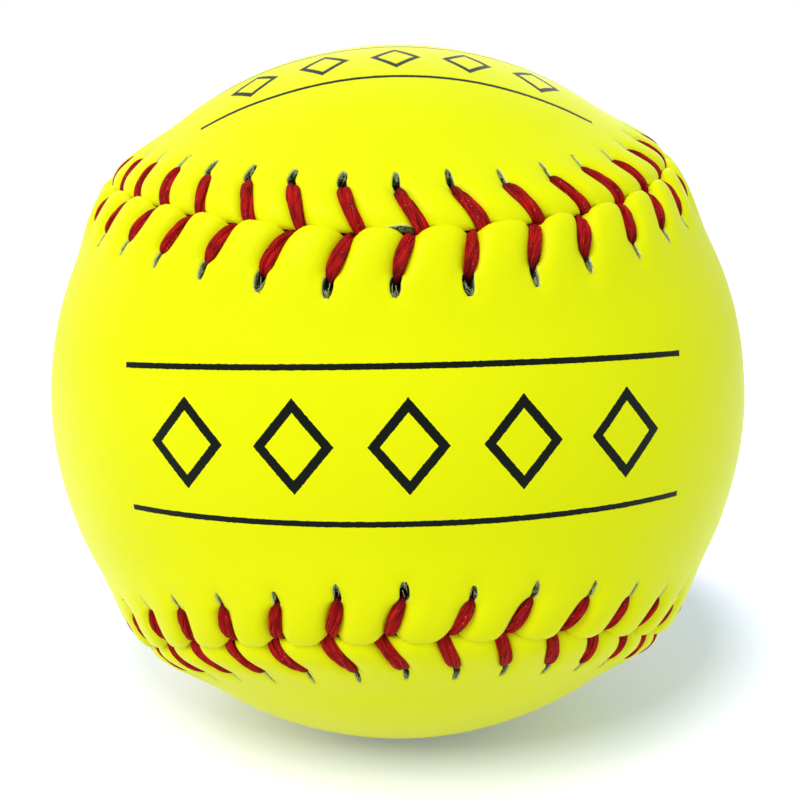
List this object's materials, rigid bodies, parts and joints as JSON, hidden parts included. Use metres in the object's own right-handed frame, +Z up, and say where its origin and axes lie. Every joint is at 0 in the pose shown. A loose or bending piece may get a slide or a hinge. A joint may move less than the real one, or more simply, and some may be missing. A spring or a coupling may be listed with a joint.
{
  "type": "softball",
  "caption": "Round softball with a two-panel figure-eight leather cover sewn in raised chevron stitches over a wound centre.",
  "frame": {"origin": "centre of the ball", "axes": "+Z up, +X right and -Y to the front, where panel A is narrowest between its two seams"},
  "size_m": [0.097, 0.097, 0.097],
  "materials": {
    "cover_leather": "chrome-tanned leather with a smooth fluorescent yellow coat, satin",
    "seam_thread": "waxed twisted cotton thread, dark red",
    "cement": "dried contact cement, amber",
    "latex": "dried latex dip, cream",
    "yarn": "wound polyester and cotton yarn, off-white",
    "core": "moulded polyurethane foam, tan"
  },
  "bodies": {
    "root": {"cement_film_a": "cement", "cement_film_b": "cement", "core": "core", "cover_panel_a": "cover_leather", "cover_panel_b": "cover_leather", "latex_coat": "latex", "seam_thread_1": "seam_thread", "seam_thread_2": "seam_thread", "yarn_winding": "yarn"}
  },
  "joints": []
}
